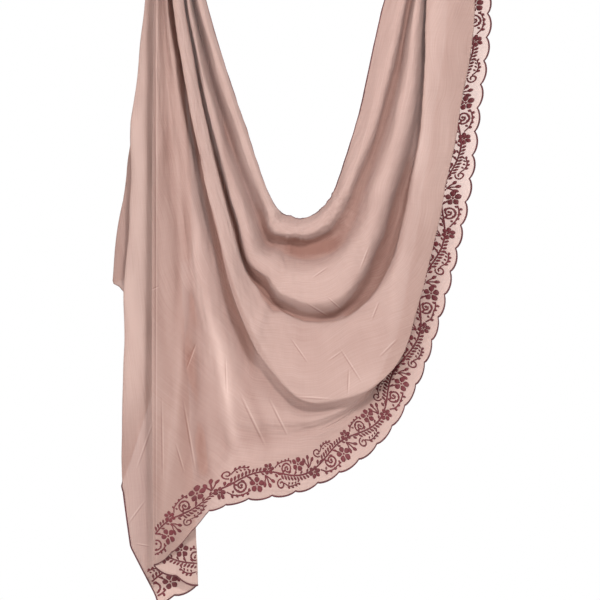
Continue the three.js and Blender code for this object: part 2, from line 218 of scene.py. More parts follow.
# The mesh: columns and depth samples between two folds, rows over which a shell thins out, and in
# metres the distance below which points are merged.
FOLD_COLUMNS = 13
DEPTH_SAMPLES = 40
THINNING_ROWS = 6
MERGING = 0.0002

# The edges, in millimetres, and each thread's pitch in metres and roughness.
SCALLOP_PITCH = 38.0
SCALLOP_DEPTH = 6.2
STITCH_PITCH = 1.5
HEM_HEIGHT = 0.6
EDGE_HEIGHT = 0.7
HEM_THREAD = (0.0012, 0.7)
VINE_THREAD = (0.0009, 0.5)

# How far the scalloped edge is drawn in, by the length along it from the tip.
EDGE_DRAWN_IN = ([0, 14, 28, 44, 62, 78, 92, 105, 118, 134, 150, 165], [0, -3, -6, -4, 2, 7, 12, 15, 12, 6, 0, 0])

# The embroidered band, in millimetres: its middle in from the scalloped edge, how deep it is worked
# out, and the step of its table; the section number from which it is found along the row; the width
# of the last fold and how far off a place may be found; half the length in which the vine repeats,
# how high its stitches are, and how long its chain stitches.
BAND_MIDDLE = 31.0
BAND_DEPTH = 78.0
BAND_STEP = 3.0
RIGHT_FROM = 11.8
FOLD_WIDTH = 70.0
FARTHEST_MISS = 1.5
HALF_REPEAT = 79.0
SATIN_HEIGHT = 0.85
CHAIN_STITCH = 2.4

# The tail by the drop below the hold: where its folds turn, and how far along the cloth it reaches.
# Then, in millimetres, how deep each turn lies, how wide it is, how far behind the ridge the tail starts,
# how much its tip rises, as a share, and from which drop, the step between its rows, and how wide the
# strip is that gives its hem a direction. The steps are those of the mesh along a face and a turn.
TAIL_ROWS = np.array([
    # drop  right1 left1 right2 left2 right3 reach
    (0,     2,     -26,  3,     -25,  6,     132),
    (128,   0,     -45,  6,     -42,  36,    236),
    (320,   3,     -66,  10,    -64,  48,    356),
    (416,   6,     -68,  13,    -79,  54,    408),
    (542,   13,    -75,  10,    -95,  54,    462),
    (584,   14,    -77,  8,     -99,  54,    332),
    (653,   18,    -78,  6,     -99,  54,    278),
    (680,   19,    -78,  5,     -99,  54,    233),
    (768,   26,    -81,  5,     -99,  54,    219),
    (864,   30,    -83,  5,     -99,  54,    199),
    (917,   34,    -83,  5,     -99,  54,    186),
    (1005,  38,    -86,  5,     -99,  54,    180),
    (1093,  40,    -86,  5,     -99,  54,    138),
], dtype=float)
TAIL_DEPTHS = (24.0, 37.0, 50.0, 62.0, 73.0)
TAIL_TURN = 8.0
TAIL_START = 0.7
TAIL_TIP_RISE = 0.055
TAIL_RISE_START = 700.0
TAIL_STEP = 5.0
TAIL_FACE_STEPS = 16
TAIL_TURN_STEPS = 4
TAIL_END = 5.0

# Creases of the front cloth: a line from (x1, drop1) to (x2, drop2), its half width, and its
# height, negative for a trough. All millimetres.
FRONT_CREASES = [
    # x1, drop1, x2, drop2, width, height
    (190, 669, 216, 707, 2.6, -1.6), (196, 664, 222, 701, 3.5, 1.2), (272, 691, 302, 738, 2.4, -1.7),
    (279, 688, 309, 734, 3.2, 1.2), (250, 704, 272, 689, 2.4, -1.4), (283, 722, 282, 755, 2.8, -1.1),
    (226, 571, 248, 557, 2.6, -1.5), (250, 605, 269, 621, 2.6, -1.2), (320, 637, 330, 613, 2.6, -1.2),
    (86, 704, 88, 755, 2.4, -1.6), (91, 702, 93, 757, 2.8, 1.0), (38, 680, 24, 717, 2.8, -1.5),
    (22, 584, 43, 664, 6.0, -2.6), (43, 664, 66, 784, 6.0, -3.0), (66, 784, 85, 862, 5.0, -2.4),
    (74, 668, 92, 780, 7.0, 2.2), (20, 770, 36, 880, 3.0, 1.7), (12, 840, 22, 885, 3.0, -1.4),
    (5, 835, 17, 875, 3.4, 1.0), (80, 815, 104, 865, 4.0, -1.5), (109, 760, 150, 840, 6.0, 2.0),
    (158, 768, 185, 824, 4.5, 1.6), (100, 816, 150, 832, 5.0, -1.2), (2, 300, 6, 470, 7.0, -2.0),
    (6, 470, 22, 584, 7.0, -2.4), (-12, 330, -10, 620, 6.0, 1.4), (60, 520, 74, 600, 6.0, 1.2),
    (430, 140, 424, 330, 7.0, -1.8), (446, 130, 438, 330, 8.0, 1.6), (462, 140, 450, 330, 6.0, -1.4),
    (418, 350, 404, 520, 7.0, 1.5), (408, 380, 396, 470, 5.0, -1.6), (404, 470, 372, 610, 7.0, -1.4),
    (392, 430, 352, 640, 8.0, 1.3), (340, 640, 326, 700, 7.0, -1.6), (360, 600, 350, 660, 6.0, 1.2),
    (300, 640, 330, 690, 6.0, 1.2), (240, 650, 262, 690, 6.0, 1.0), (205, 640, 200, 690, 7.0, -1.0),
    (150, 720, 205, 780, 6.0, -1.8), (170, 700, 230, 762, 6.0, 1.4), (300, 560, 318, 500, 5.0, 1.2),
    (290, 520, 330, 440, 4.0, -1.0), (180, 545, 214, 562, 5.0, -1.1), (176, 535, 186, 560, 3.0, -1.2),
    (335, 700, 390, 640, 6.0, -1.2), (300, 790, 350, 740, 6.0, 1.0), (-20, 700, -18, 900, 6.0, 1.6),
    (-6, 720, -4, 930, 6.0, -1.8), (40, 860, 36, 920, 5.0, 1.2), (300, 632, 322, 618, 2.6, -1.0),
    (226, 650, 240, 690, 4.0, -0.9), (118, 700, 121, 762, 3.0, 1.3), (60, 690, 62, 790, 7.0, 1.6),
    (176, 742, 240, 752, 4.0, -1.0), (196, 800, 262, 838, 6.0, -1.2), (262, 792, 330, 758, 5.0, -1.1),
    (150, 850, 210, 846, 4.0, 1.0), (110, 700, 112, 830, 9.0, -1.6), (232, 512, 270, 520, 3.0, 0.9),
    (30, 200, 40, 420, 7.0, -1.2), (14, 180, 20, 420, 6.0, 1.4), (-6, 400, -4, 700, 6.0, -1.6),
    (32, 420, 44, 600, 7.0, 1.6), (52, 600, 60, 700, 7.0, 1.4), (48, 720, 64, 890, 9.0, -2.6),
]

# Fine creases painted by the shader as light and shade only: a line from (x1, drop1) to (x2, drop2) and
# its half width, all in millimetres. The painted light side is on the right of the way that the line runs,
# the painted shade side on the left.
PAINTED_FINE_CREASES = [
    # x1, drop1, x2, drop2, width
    (190, 669, 218, 709, 2.2), (268, 684, 304, 740, 2.4), (248, 706, 274, 688, 2.0), (283, 716, 281, 760, 2.4),
    (224, 573, 250, 555, 2.2), (248, 603, 271, 623, 2.0), (319, 640, 331, 610, 2.4), (86, 698, 88, 760, 2.2),
    (39, 676, 23, 720, 2.2), (18, 766, 38, 884, 2.6), (6, 836, 20, 884, 2.4), (108, 755, 150, 842, 3.2),
    (156, 766, 186, 826, 2.8), (196, 762, 258, 766, 2.6), (330, 700, 362, 668, 2.6), (300, 560, 316, 520, 2.4),
    (214, 612, 250, 634, 2.4), (-58, 880, -30, 800, 2.6), (-72, 968, -44, 930, 2.4), (-60, 1000, -36, 1004, 2.0),
    (-20, 586, -34, 592, 2.0), (-16, 760, -14, 900, 2.4), (-25, 60, -26, 1080, 2.4),
]


def catmull(points, places):
    """Centripetal Catmull-Rom curve through points along the first axis, read at point numbers.

    Knots grow by the square root of each chord, and a cubic with the matching end slopes joins
    each pair of points. The two ends carry on straight.
    """
    points = np.asarray(points, dtype=float)
    places = np.asarray(places, dtype=float)
    padded = np.concatenate([2 * points[:1] - points[1:2], points, 2 * points[-1:] - points[-2:-1]])
    low = np.clip(np.floor(places).astype(int), 0, len(points) - 2)
    part = places - low
    p0, p1, p2, p3 = (padded[low + k] for k in range(4))
    chord = [np.maximum(np.linalg.norm(b - a, axis=-1, keepdims=True), 1e-6) ** 0.5
             for a, b in ((p0, p1), (p1, p2), (p2, p3))]
    d0, d1, d2 = chord
    slope1 = ((p1 - p0) / d0 - (p2 - p0) / (d0 + d1) + (p2 - p1) / d1) * d1
    slope2 = ((p2 - p1) / d1 - (p3 - p1) / (d1 + d2) + (p3 - p2) / d2) * d1
    t = part.reshape((-1,) + (1,) * (points.ndim - 1))
    cubic = 2 * p1 - 2 * p2 + slope1 + slope2
    square = -3 * p1 + 3 * p2 - 2 * slope1 - slope2
    return p1 + slope1 * t + square * t ** 2 + cubic * t ** 3


def fold_points():
    """Array of sections by folds by (x, y, z): start plus distance times direction, z is minus drop."""
    start = np.array([(row[1], row[2]) for row in SECTIONS], dtype=float)
    way = np.array([(row[3], row[4]) for row in SECTIONS])
    along, depth = (np.array(part, dtype=float).T for part in zip(*FOLDS.values()))
    x = start[:, :1] + along * way[:, :1]
    drop = start[:, 1:] + along * way[:, 1:]
    return np.stack([x, depth[[row[5] for row in SECTIONS]], -drop], axis=-1)


FOLD_POINTS = fold_points()


def fold_lines(sections):
    """All fold lines at section numbers. The outer edge has a corner at the tip, so it is two curves."""
    sections = np.asarray(sections, dtype=float)
    lines = catmull(FOLD_POINTS, sections)
    edge = FOLD_POINTS[:, -1]
    before = catmull(edge[:TIP + 1], np.minimum(sections, TIP))
    after = catmull(edge[TIP:], np.maximum(sections - TIP, 0))
    lines[:, -1] = np.where((sections <= TIP)[:, None], before, after)
    return lines


def front_points(sections, folds):
    """Front cloth as sections by folds.

    Each section is the curve across its fold lines. Its depth is read at the fold number plus the
    share between two folds to that pair's power, which makes a valley crisp on one side and soft on
    the other. A sine of the share also pushes the cloth across, so that the wall between is steep.
    """
    lines = fold_lines(sections).transpose(1, 0, 2)
    pair = np.minimum(np.floor(folds), LAST_FOLD - 1).astype(int)
    share = folds - pair
    points = catmull(lines, folds).transpose(1, 0, 2)
    power = np.stack([np.interp(sections, CRISP_AT, column) for column in CRISP.T], axis=-1)[:, pair]
    depths = catmull(lines[..., 1], np.linspace(0, LAST_FOLD, LAST_FOLD * DEPTH_SAMPLES + 1)).T
    rows = np.arange(len(sections))[:, None]
    points[..., 1] = bilinear(depths[..., None], rows, (pair + share ** power) * DEPTH_SAMPLES)[..., 0]
    across = (lines[1:] - lines[:-1])[pair] * (STEEP[pair] * np.sin(2 * np.pi * share))[:, None, None]
    points[..., [0, 2]] += across.transpose(1, 0, 2)[..., [0, 2]]
    return points


def unit(vectors):
    """Vectors divided by their length."""
    return vectors / np.maximum(np.linalg.norm(vectors, axis=-1, keepdims=True), 1e-9)


def grid_normals(points):
    """Unit cross product of a grid's slopes along its two axes."""
    return unit(np.cross(np.gradient(points, axis=0), np.gradient(points, axis=1)))


def cross(one, two):
    """Cross product of vectors in a plane."""
    return one[..., 0] * two[..., 1] - one[..., 1] * two[..., 0]


def run_lengths(points):
    """Distance along the first axis from its start to each point."""
    steps = np.linalg.norm(np.diff(points, axis=0), axis=-1)
    return np.concatenate([np.zeros((1,) + steps.shape[1:]), np.cumsum(steps, axis=0)])


def smooth_step(low, high, value):
    """Zero below low, one above high, and a smooth cubic between."""
    t = np.clip((value - low) / (high - low), 0, 1)
    return t * t * (3 - 2 * t)


EDGE_AT = np.linspace(TIP, LAST_SECTION, 1200)
EDGE = fold_lines(EDGE_AT)[:, -1]
EDGE_RUN = run_lengths(EDGE)


def front_sections():
    """Section numbers of the mesh rows: by ROWS_TO_TIP up to the tip, then at even steps along the edge."""
    before = [number + np.arange(rows) / rows for number, rows in enumerate(ROWS_TO_TIP)]
    after = np.interp(np.arange(0.0, EDGE_RUN[-1], SCALLOP_PITCH / 10), EDGE_RUN, EDGE_AT)
    return np.concatenate(before + [after, [LAST_SECTION]])


def blurred(grid, size):
    """Grid smoothed along its columns by a bell of that many columns."""
    reach = int(3 * size)
    bell = np.exp(-0.5 * (np.arange(-reach, reach + 1) / size) ** 2)
    padded = np.pad(grid, ((0, 0), (reach, reach)), mode="edge")
    return sum(weight * padded[:, k:k + grid.shape[1]] for k, weight in enumerate(bell / bell.sum()))


def valley_shade(points, sections, folds):
    """Painted shade of each point, for the cloth's colour: from -1, painted light, on ridges to 1, painted
    shade, in folds.

    Most of it is the largest of the painted shade bands, each with soft sides. To it come the painted
    strokes of light and shade and how far the point lies behind its neighbours across the folds, less a
    share of the creases, which paints raised creases lighter and troughs darker.
    """
    depth = points[..., 1]
    behind = np.clip((depth - blurred(depth, 0.9 * FOLD_COLUMNS)) / VALLEY_DEPTH, -1, 1)
    bands = []
    for dark, start, end, start_soft, end_soft in PAINTED_SHADES.values():
        dark, start, end = (np.interp(sections, SHADE_AT, row)[:, None] for row in (dark, start, end))
        bands.append(dark * smooth_step(start - start_soft, start + start_soft, folds[None, :])
                     * (1 - smooth_step(end - end_soft, end + end_soft, folds[None, :])))
    creases = crease_heights(points, [(*line[:4], CREASE_SHADE_WIDTH * line[4], line[5]) for line in FRONT_CREASES])
    strokes = crease_heights(points, PAINTED_STROKES)
    return BANDS_SHARE * np.max(bands, axis=0) + BEHIND_SHARE * behind + strokes - CREASE_SHADE * creases


def edge_lengths(sections):
    """Length along the outer edge from the tip to each section number, negative before the tip."""
    return np.where(sections >= TIP, np.interp(sections, EDGE_AT, EDGE_RUN), sections - TIP)


def scallop(length):
    """Height of the scalloped line: a rounded lobe between cusps, the sine's size to the power 0.7."""
    return SCALLOP_DEPTH * np.abs(np.sin(np.pi * length / SCALLOP_PITCH)) ** 0.7


def slow_noise(u, v, seed, size):
    """Sum of seven sine waves in seeded directions, about one in height and size in length."""
    random = np.random.default_rng(seed)
    total = np.zeros(np.broadcast(u, v).shape)
    for _ in range(7):
        angle, phase, scale = random.uniform(0, 2 * np.pi), random.uniform(0, 2 * np.pi), random.uniform(0.6, 1.7)
        total += np.sin((u * np.cos(angle) + v * np.sin(angle)) * 2 * np.pi / (size * scale) + phase)
    return total / 2.6


def uneven(u, v, waves, start=0.0):
    """Start plus the slow noise of each row of waves."""
    return sum((height * slow_noise(u, v * stretch, seed, size) for height, stretch, seed, size in waves), start)


def crease_heights(points, creases):
    """Sum of the creases at each point.

    Each is its height times a bell of the distance from its line, which bends a little to one
    side, fading out over the last third at both ends.
    """
    x, drop = points[..., 0], -points[..., 2]
    total = np.zeros(x.shape)
    for number, (x1, d1, x2, d2, width, height) in enumerate(creases):
        dx, dd = x2 - x1, d2 - d1
        length = math.hypot(dx, dd)
        along = ((x - x1) * dx + (drop - d1) * dd) / length
        side = ((x - x1) * -dd + (drop - d1) * dx) / length
        bend = (0.06 if number % 2 else -0.05) * length
        middle = np.clip(along / length, 0, 1)
        side = side - bend * 4 * middle * (1 - middle)
        fade = smooth_step(-0.12 * length, 0.33 * length, along)
        fade = fade * (1 - smooth_step(0.67 * length, 1.12 * length, along))
        total += height * fade * np.exp(-(side / width) ** 2)
    return total


class Cloth:
    """The front cloth as a fine grid, with its creases and its share of see-through border."""

    def __init__(self):
        self.sections = front_sections()
        self.folds = np.linspace(0, LAST_FOLD, LAST_FOLD * FOLD_COLUMNS + 1)
        self.points = self.shaped(self.sections, self.folds)
        border = smooth_step(*RIGHT_BORDER, self.folds) * smooth_step(*BORDER_CHANGE, self.sections)[:, None]
        self.sheer = border + LEFT_BORDER_SHARE * smooth_step(*LEFT_BORDER, self.folds) * (1 - border)

    def shaped(self, sections, folds):
        """Grid of the creased cloth, with the scallops pushed out along the cloth at the outer edge.

        The height of creases and unevenness is taken off along the normals, faded out near the holds
        and along the border. The edge goes in by the drawn-in length and out by the scallops.
        """
        points = front_points(sections, folds)
        normals = grid_normals(points)
        length = run_lengths(points[:, len(folds) // 2])[:, None]
        shown = (smooth_step(*CREASED_FROM, sections) * (1 - smooth_step(*CREASED_TO, sections)))[:, None]
        fade = shown * (1 - smooth_step(*CREASED_FOLDS, folds))
        creases = crease_heights(points, FRONT_CREASES) * (normals[..., 1] > FACING)
        height = uneven(length, folds[None, :] * MEAN_FOLD, FRONT_WAVES, creases)
        points = points - normals * (height * fade)[..., None]
        deeper = (0.72 + 0.28 * smooth_step(9.5, 11.5, sections)) * (sections >= TIP)
        length_out = edge_lengths(sections)
        lobes = (scallop(length_out) * deeper)[:, None]
        drawn = np.interp(length_out, *EDGE_DRAWN_IN)[:, None] * smooth_step(LAST_FOLD - 1.0, LAST_FOLD, folds)[None, :]
        outward = unit(points[:, -1] - points[:, -4])[:, None]
        reach = smooth_step(LAST_FOLD - 0.35, LAST_FOLD, folds)[None, :]
        return points + outward * (lobes * reach - drawn)[..., None]

    def read(self, grid, sections, folds):
        """A grid's values at section and fold numbers, bilinear between its points."""
        return bilinear(grid, np.interp(sections, self.sections, np.arange(len(self.sections))), folds * FOLD_COLUMNS)


def bilinear(grid, rows, columns):
    """Values of a grid at row and column numbers: the four nearest, weighted by nearness."""
    rows = np.clip(rows, 0, grid.shape[0] - 1.001)
    columns = np.clip(columns, 0, grid.shape[1] - 1.001)
    i, j = np.floor(rows).astype(int), np.floor(columns).astype(int)
    a, b = (rows - i)[..., None], (columns - j)[..., None]
    return ((grid[i, j] * (1 - a) + grid[i + 1, j] * a) * (1 - b)
            + (grid[i, j + 1] * (1 - a) + grid[i + 1, j + 1] * a) * b)


def tail_value(column, drop):
    """A column of the tail's table at a drop, straight between its rows."""
    return np.interp(drop, TAIL_ROWS[:, 0], TAIL_ROWS[:, column])


def along_paths(flat, distance, target):
    """Point of each path at its target distance, straight between the path's points."""
    row = np.arange(flat.shape[1])
    last = np.clip((distance < target).sum(axis=0) - 1, 0, len(flat) - 2)
    start, end = distance[last, row], distance[last + 1, row]
    part = ((target - start) / np.maximum(end - start, 1e-9))[:, None]
    return flat[last, row] * (1 - part) + flat[last + 1, row] * part


class Tail:
    """The tail as a fine grid: rows by drop, columns along the zigzag path from the front's ridge."""

    def __init__(self):
        self.drops = np.linspace(0, TAIL_ROWS[-1, 0], int(TAIL_ROWS[-1, 0] / TAIL_STEP) + 1)
        drops = self.drops
        fine = fold_lines(np.linspace(0, TIP, 600))[:, -1]
        ridge_x, ridge_y = (np.interp(drops, -fine[:, 2], fine[:, axis]) for axis in (0, 1))
        path = [np.stack([ridge_x, ridge_y + TAIL_START], axis=-1)]
        for turn, depth in enumerate(TAIL_DEPTHS):
            x = tail_value(turn + 1, drops)
            inward = TAIL_TURN if turn % 2 else -TAIL_TURN
            for shift, rise in ((inward, -4), (0, 0), (inward, 4)):
                path.append(np.stack([x + shift, np.full_like(x, depth + rise)], axis=-1))
        places = [np.zeros(1)]
        for number in range(len(path) - 1):
            steps = TAIL_FACE_STEPS if number % 3 == 0 else TAIL_TURN_STEPS
            places.append(number + np.arange(1, steps + 1) / steps)
        flat = catmull(np.array(path), np.concatenate(places))
        distance = run_lengths(flat)
        reach = tail_value(6, drops)
        stop = along_paths(flat, distance, reach)
        inner = along_paths(flat, distance, reach - TAIL_END)
        flat = np.where((distance < reach)[..., None], flat, stop)
        self.distance = np.minimum(distance, reach).T
        share = self.distance / reach[:, None]
        level = drops[:, None] * (1 - TAIL_TIP_RISE * smooth_step(TAIL_RISE_START, drops[-1], drops)[:, None]
                                  * (1 - share))
        flat = flat.transpose(1, 0, 2)
        points = np.stack([flat[..., 0], flat[..., 1], -level], axis=-1)
        normals = grid_normals(points)
        wave = uneven(self.distance, level, TAIL_WAVES)
        fade = smooth_step(6, 40, self.distance) * smooth_step(0, 40, drops)[:, None]
        points = points + normals * (wave * fade)[..., None]
        points[..., 2] -= scallop(self.distance) * smooth_step(drops[-1] - 14, drops[-1], drops)[:, None]
        self.points = points
        self.inside = np.concatenate([inner - stop, np.zeros((len(drops), 1))], axis=-1)
        # Painted shade of the tail's colour, on the layers near the front: a painted shadow of the front's ridge beside
        # it (near), painted light on the outer strip above its low part, darker in the low outer part, and all of it
        # 0.9 lighter. The outer strip is also more see-through.
        outer = 1 - smooth_step(-50, -34, points[..., 0])
        front = 1 - smooth_step(26, 44, points[..., 1])
        self.sheer = outer * 0.25
        near = np.exp(-((points[..., 0] - ridge_x[:, None] + 9) / 8) ** 2)
        low = smooth_step(700, 880, -points[..., 2])
        self.valley = front * (0.8 * near - 0.7 * outer * (1 - low) - 0.9 + 1.0 * low * outer)


CACHE = {}


def shape(kind):
    """The Cloth or the Tail, worked out once and kept."""
    if kind not in CACHE:
        CACHE[kind] = kind()
    return CACHE[kind]


def quads(rows, columns, close=False):
    """Corner numbers of a grid's quads. With close, the last column joins the first."""
    number = np.arange(rows * columns).reshape(rows, columns)
    if close:
        number = np.concatenate([number, number[:, :1]], axis=1)
    a, b, c, d = number[:-1, :-1], number[1:, :-1], number[1:, 1:], number[:-1, 1:]
    return np.stack([a, b, c, d], axis=-1).reshape(-1, 4)


def new_mesh(name, points, faces, uv, values=None):
    """Mesh in metres from millimetre points and lists of corners, with a UV and float values per point."""
    mesh = bpy.data.meshes.new(name)
    mesh.from_pydata((points.reshape(-1, 3) * MM).tolist(), [], faces)
    layer = mesh.uv_layers.new(name="cloth")
    corners = np.zeros(len(mesh.loops), dtype=np.int32)
    mesh.loops.foreach_get("vertex_index", corners)
    layer.data.foreach_set("uv", (uv.reshape(-1, 2)[corners] * MM).astype(np.float32).ravel())
    for key, value in (values or {}).items():
        attribute = mesh.attributes.new(key, "FLOAT", "POINT")
        attribute.data.foreach_set("value", value.astype(np.float32).ravel())
    mesh.update()
    return mesh


def rework(mesh, change):
    """Puts a mesh through a change that works on a BMesh."""
    work = bmesh.new()
    work.from_mesh(mesh)
    change(work)
    work.to_mesh(mesh)
    work.free()
    mesh.update()


def merge_close(work):
    """Merges points closer than the merging distance and removes faces with no area."""
    bmesh.ops.remove_doubles(work, verts=work.verts, dist=MERGING)
    bmesh.ops.dissolve_degenerate(work, edges=work.edges, dist=MERGING)


def face_outwards(work):
    """Turns all faces of closed forms outwards."""
    bmesh.ops.recalc_face_normals(work, faces=work.faces)


def placed(name, data, location=(0.0, 0.0, 0.0)):
    """New object of the scene that shows the data, at a place."""
    made = bpy.data.objects.new(name, data)
    made.location = location
    bpy.context.scene.collection.objects.link(made)
    return made


def add_piece(mesh, material, rim=0):
    """Puts a mesh in the scene at the origin, as a piece that rides on the body. It is smooth shaded but
    for its last faces, as many as rim says."""
    mesh.polygons.foreach_set("use_smooth", np.arange(len(mesh.polygons)) < len(mesh.polygons) - rim)
    mesh.materials.append(material)
    piece = placed(mesh.name, mesh)
    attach(piece, "root")
    return piece


def shell_mesh(name, points, normals, thickness, uv, values, free_rows):
    """Closed thin shell of a grid: the grid moved half the thickness each way along its normals, and
    last the faces round its rim. Where free_rows says that the first or last row is joined to the next
    piece, both sides thin out over a few rows and meet in one sharp line there, so that no rim shows.
    """
    number = np.arange(points.shape[0] * points.shape[1]).reshape(points.shape[:2])
    under, line = number + number.size, np.arange(len(points))
    rise = np.ones(len(points))
    joined = []
    for row, free, away in ((0, free_rows[0], line), (-1, free_rows[1], line[::-1])):
        if not free:
            rise *= smooth_step(0, THINNING_ROWS, away)
            under[row] = number[row]
            joined += number[row].tolist()
    grid, shift = quads(*points.shape[:2]), under.ravel()
    faces = [grid, shift[grid[:, ::-1]]]
    for one, two, free in ((under[:, 0], number[:, 0], True), (number[:, -1], under[:, -1], True),
                           (number[0], under[0], free_rows[0]), (under[-1], number[-1], free_rows[1])):
        if free:
            faces.append(np.stack([one[:-1], one[1:], two[1:], two[:-1]], axis=-1))
    used, faces = np.unique(np.concatenate(faces), return_inverse=True)
    lift = normals * (rise * thickness / 2)[:, None, None]
    mesh = new_mesh(name, np.concatenate([points + lift, points - lift]).reshape(-1, 3)[used],
                    faces.reshape(-1, 4).tolist(),
                    np.concatenate([uv, uv]).reshape(-1, 2)[used],
                    {key: np.concatenate([value, value]).ravel()[used] for key, value in values.items()})
    ends = np.zeros(2 * len(mesh.edges), dtype=np.int32)
    mesh.edges.foreach_get("vertices", ends)
    mesh.edges.foreach_set("use_edge_sharp", np.isin(used, joined)[ends].reshape(-1, 2).all(axis=1))
    return mesh


def sweep(path, side, lift, half_width, half_height, sides):
    """Tube along a path: at each point an ellipse of half_width along side and half_height along lift."""
    turn = np.arange(sides) * 2 * np.pi / sides
    across = np.cos(turn)[None, :, None] * side[:, None] * np.reshape(half_width, (-1, 1, 1))
    up = np.sin(turn)[None, :, None] * lift[:, None] * np.reshape(half_height, (-1, 1, 1))
    return path[:, None] + across + up


def evenly(points, *others, step):
    """Resamples a path, and arrays that go with it, at even steps along its length."""
    length = run_lengths(points)
    count = max(int(length[-1] / step), 2)
    at = np.linspace(0, length[-1], count + 1)
    out = [np.stack([np.interp(at, length, column) for column in data.T], axis=-1) for data in (points, *others)]
    return at, out


def stitched_edge(edge, inside, normal, half_width, half_height, pitch):
    """Overlocked edge: a flat tube round the cloth's edge, wrapped by slanting threads.

    Its size swells and shrinks with the sine of length over pitch plus the angle round it.
    """
    at, (edge, inside, normal) = evenly(edge, inside, normal, step=pitch / 3)
    side, lift = unit(inside), unit(normal)
    centre = edge + side * half_width * 0.55
    tube = sweep(centre, side, lift, half_width, half_height, 8)
    turn = np.arange(8) * 2 * np.pi / 8
    ripple = 1 + 0.13 * np.sin(at[:, None] * 2 * np.pi / pitch + turn[None, :])
    tube = centre[:, None] + (tube - centre[:, None]) * ripple[..., None]
    uv = np.stack(np.broadcast_arrays(at[:, None], turn[None, :] * half_width), axis=-1)
    return tube, uv


def tube_mesh(name, tubes):
    """One mesh of several tubes with closed ends. Each is points along by points around, with its UVs."""
    faces, start = [], 0
    for tube, _ in tubes:
        rows, sides = tube.shape[:2]
        faces += (quads(rows, sides, close=True)[:, ::-1] + start).tolist()
        faces.append(list(range(start, start + sides)))
        start += rows * sides
        faces.append(list(range(start - 1, start - sides - 1, -1)))
    points = np.concatenate([tube.reshape(-1, 3) for tube, _ in tubes])
    mesh = new_mesh(name, points, faces, np.concatenate([uv.reshape(-1, 2) for _, uv in tubes]))
    rework(mesh, face_outwards)
    return mesh


def add_edging(name, edges, width, height, settings):
    """Adds a piece of overlock thread round edges, each with its ways in and up."""
    tubes = [stitched_edge(*edge, width / MM / 2, height, STITCH_PITCH) for edge in edges]
    add_piece(tube_mesh(name, tubes), thread_material("Hem thread", settings.hem_colour, *HEM_THREAD))


class Band:
    """Where embroidery lies: points and normals of the cloth by length along the scalloped edge and
    distance in from it, with a mask of the places that are on this piece of cloth."""

    def __init__(self, lengths, points, normals, inside):
        self.start, self.step = lengths[0], lengths[1] - lengths[0]
        self.points, self.normals, self.inside = points, normals, inside.astype(float)

    def lay(self, flat):
        """Flat points (length, distance in, height) put on the cloth: its point plus height times its normal."""
        rows, columns = (flat[..., 0] - self.start) / self.step, flat[..., 1] / BAND_STEP
        on = bilinear(self.inside[..., None], rows, columns)[..., 0] > 0.99
        on &= (rows >= 0) & (rows <= self.points.shape[0] - 1) & (columns >= 0) & (columns <= self.points.shape[1] - 1)
        return (bilinear(self.points, rows, columns)
                + flat[..., 2:] * unit(bilinear(self.normals, rows, columns)), on)


def front_band():
    """Band of the front cloth. Up to the flank a place is found in the plane, square to the edge, by
    Newton's steps; on the right leg it is found by the distance along the row, because the cloth folds
    there."""
    cloth = shape(Cloth)
    base = front_points(cloth.sections, cloth.folds)
    plane = base[..., [0, 2]]
    lengths = np.arange(0.0, EDGE_RUN[-1], BAND_STEP)
    distances = np.arange(0.0, BAND_DEPTH, BAND_STEP)
    start = np.interp(lengths, EDGE_RUN, EDGE_AT)[:, None]
    line = np.stack([np.interp(lengths, EDGE_RUN, column) for column in EDGE.T], axis=-1)[:, [0, 2]]
    way = unit(np.gradient(line, axis=0))
    inward = np.stack([-way[:, 1], way[:, 0]], axis=-1)
    target = line[:, None] + inward[:, None] * distances[None, :, None]
    section, fold = np.broadcast_arrays(start, LAST_FOLD - distances / FOLD_WIDTH)
    nudge = 0.04
    for _ in range(14):
        here = cloth.read(plane, section, fold)
        by_section = (cloth.read(plane, section + nudge, fold) - cloth.read(plane, section - nudge, fold)) / (2 * nudge)
        by_fold = (here - cloth.read(plane, section, fold - nudge)) / nudge
        miss = target - here
        size = cross(by_section, by_fold)
        size = np.where(np.abs(size) < 1.0, 1.0, size)
        section = section + np.clip(cross(miss, by_fold) / size, -0.4, 0.4)
        fold = fold + np.clip(cross(by_section, miss) / size, -0.4, 0.4)
        section, fold = np.clip(section, TIP - 0.98, LAST_SECTION), np.clip(fold, 7.0, LAST_FOLD)
    miss = np.linalg.norm(target - cloth.read(plane, section, fold), axis=-1)
    rows = cloth.read(base, start, cloth.folds)
    back = run_lengths(rows[:, ::-1].transpose(1, 0, 2)).T
    straight = np.stack([LAST_FOLD - np.interp(distances, row, cloth.folds) for row in back])
    right = smooth_step(RIGHT_FROM, RIGHT_FROM + 0.8, start)
    section = section * (1 - right) + start * right
    fold = fold * (1 - right) + straight * right
    inside = ((miss < FARTHEST_MISS) & (section > TIP - 0.9)) | (right > 0.5)
    return Band(lengths, cloth.read(cloth.points, section, fold),
                cloth.read(grid_normals(cloth.points), section, fold), inside)


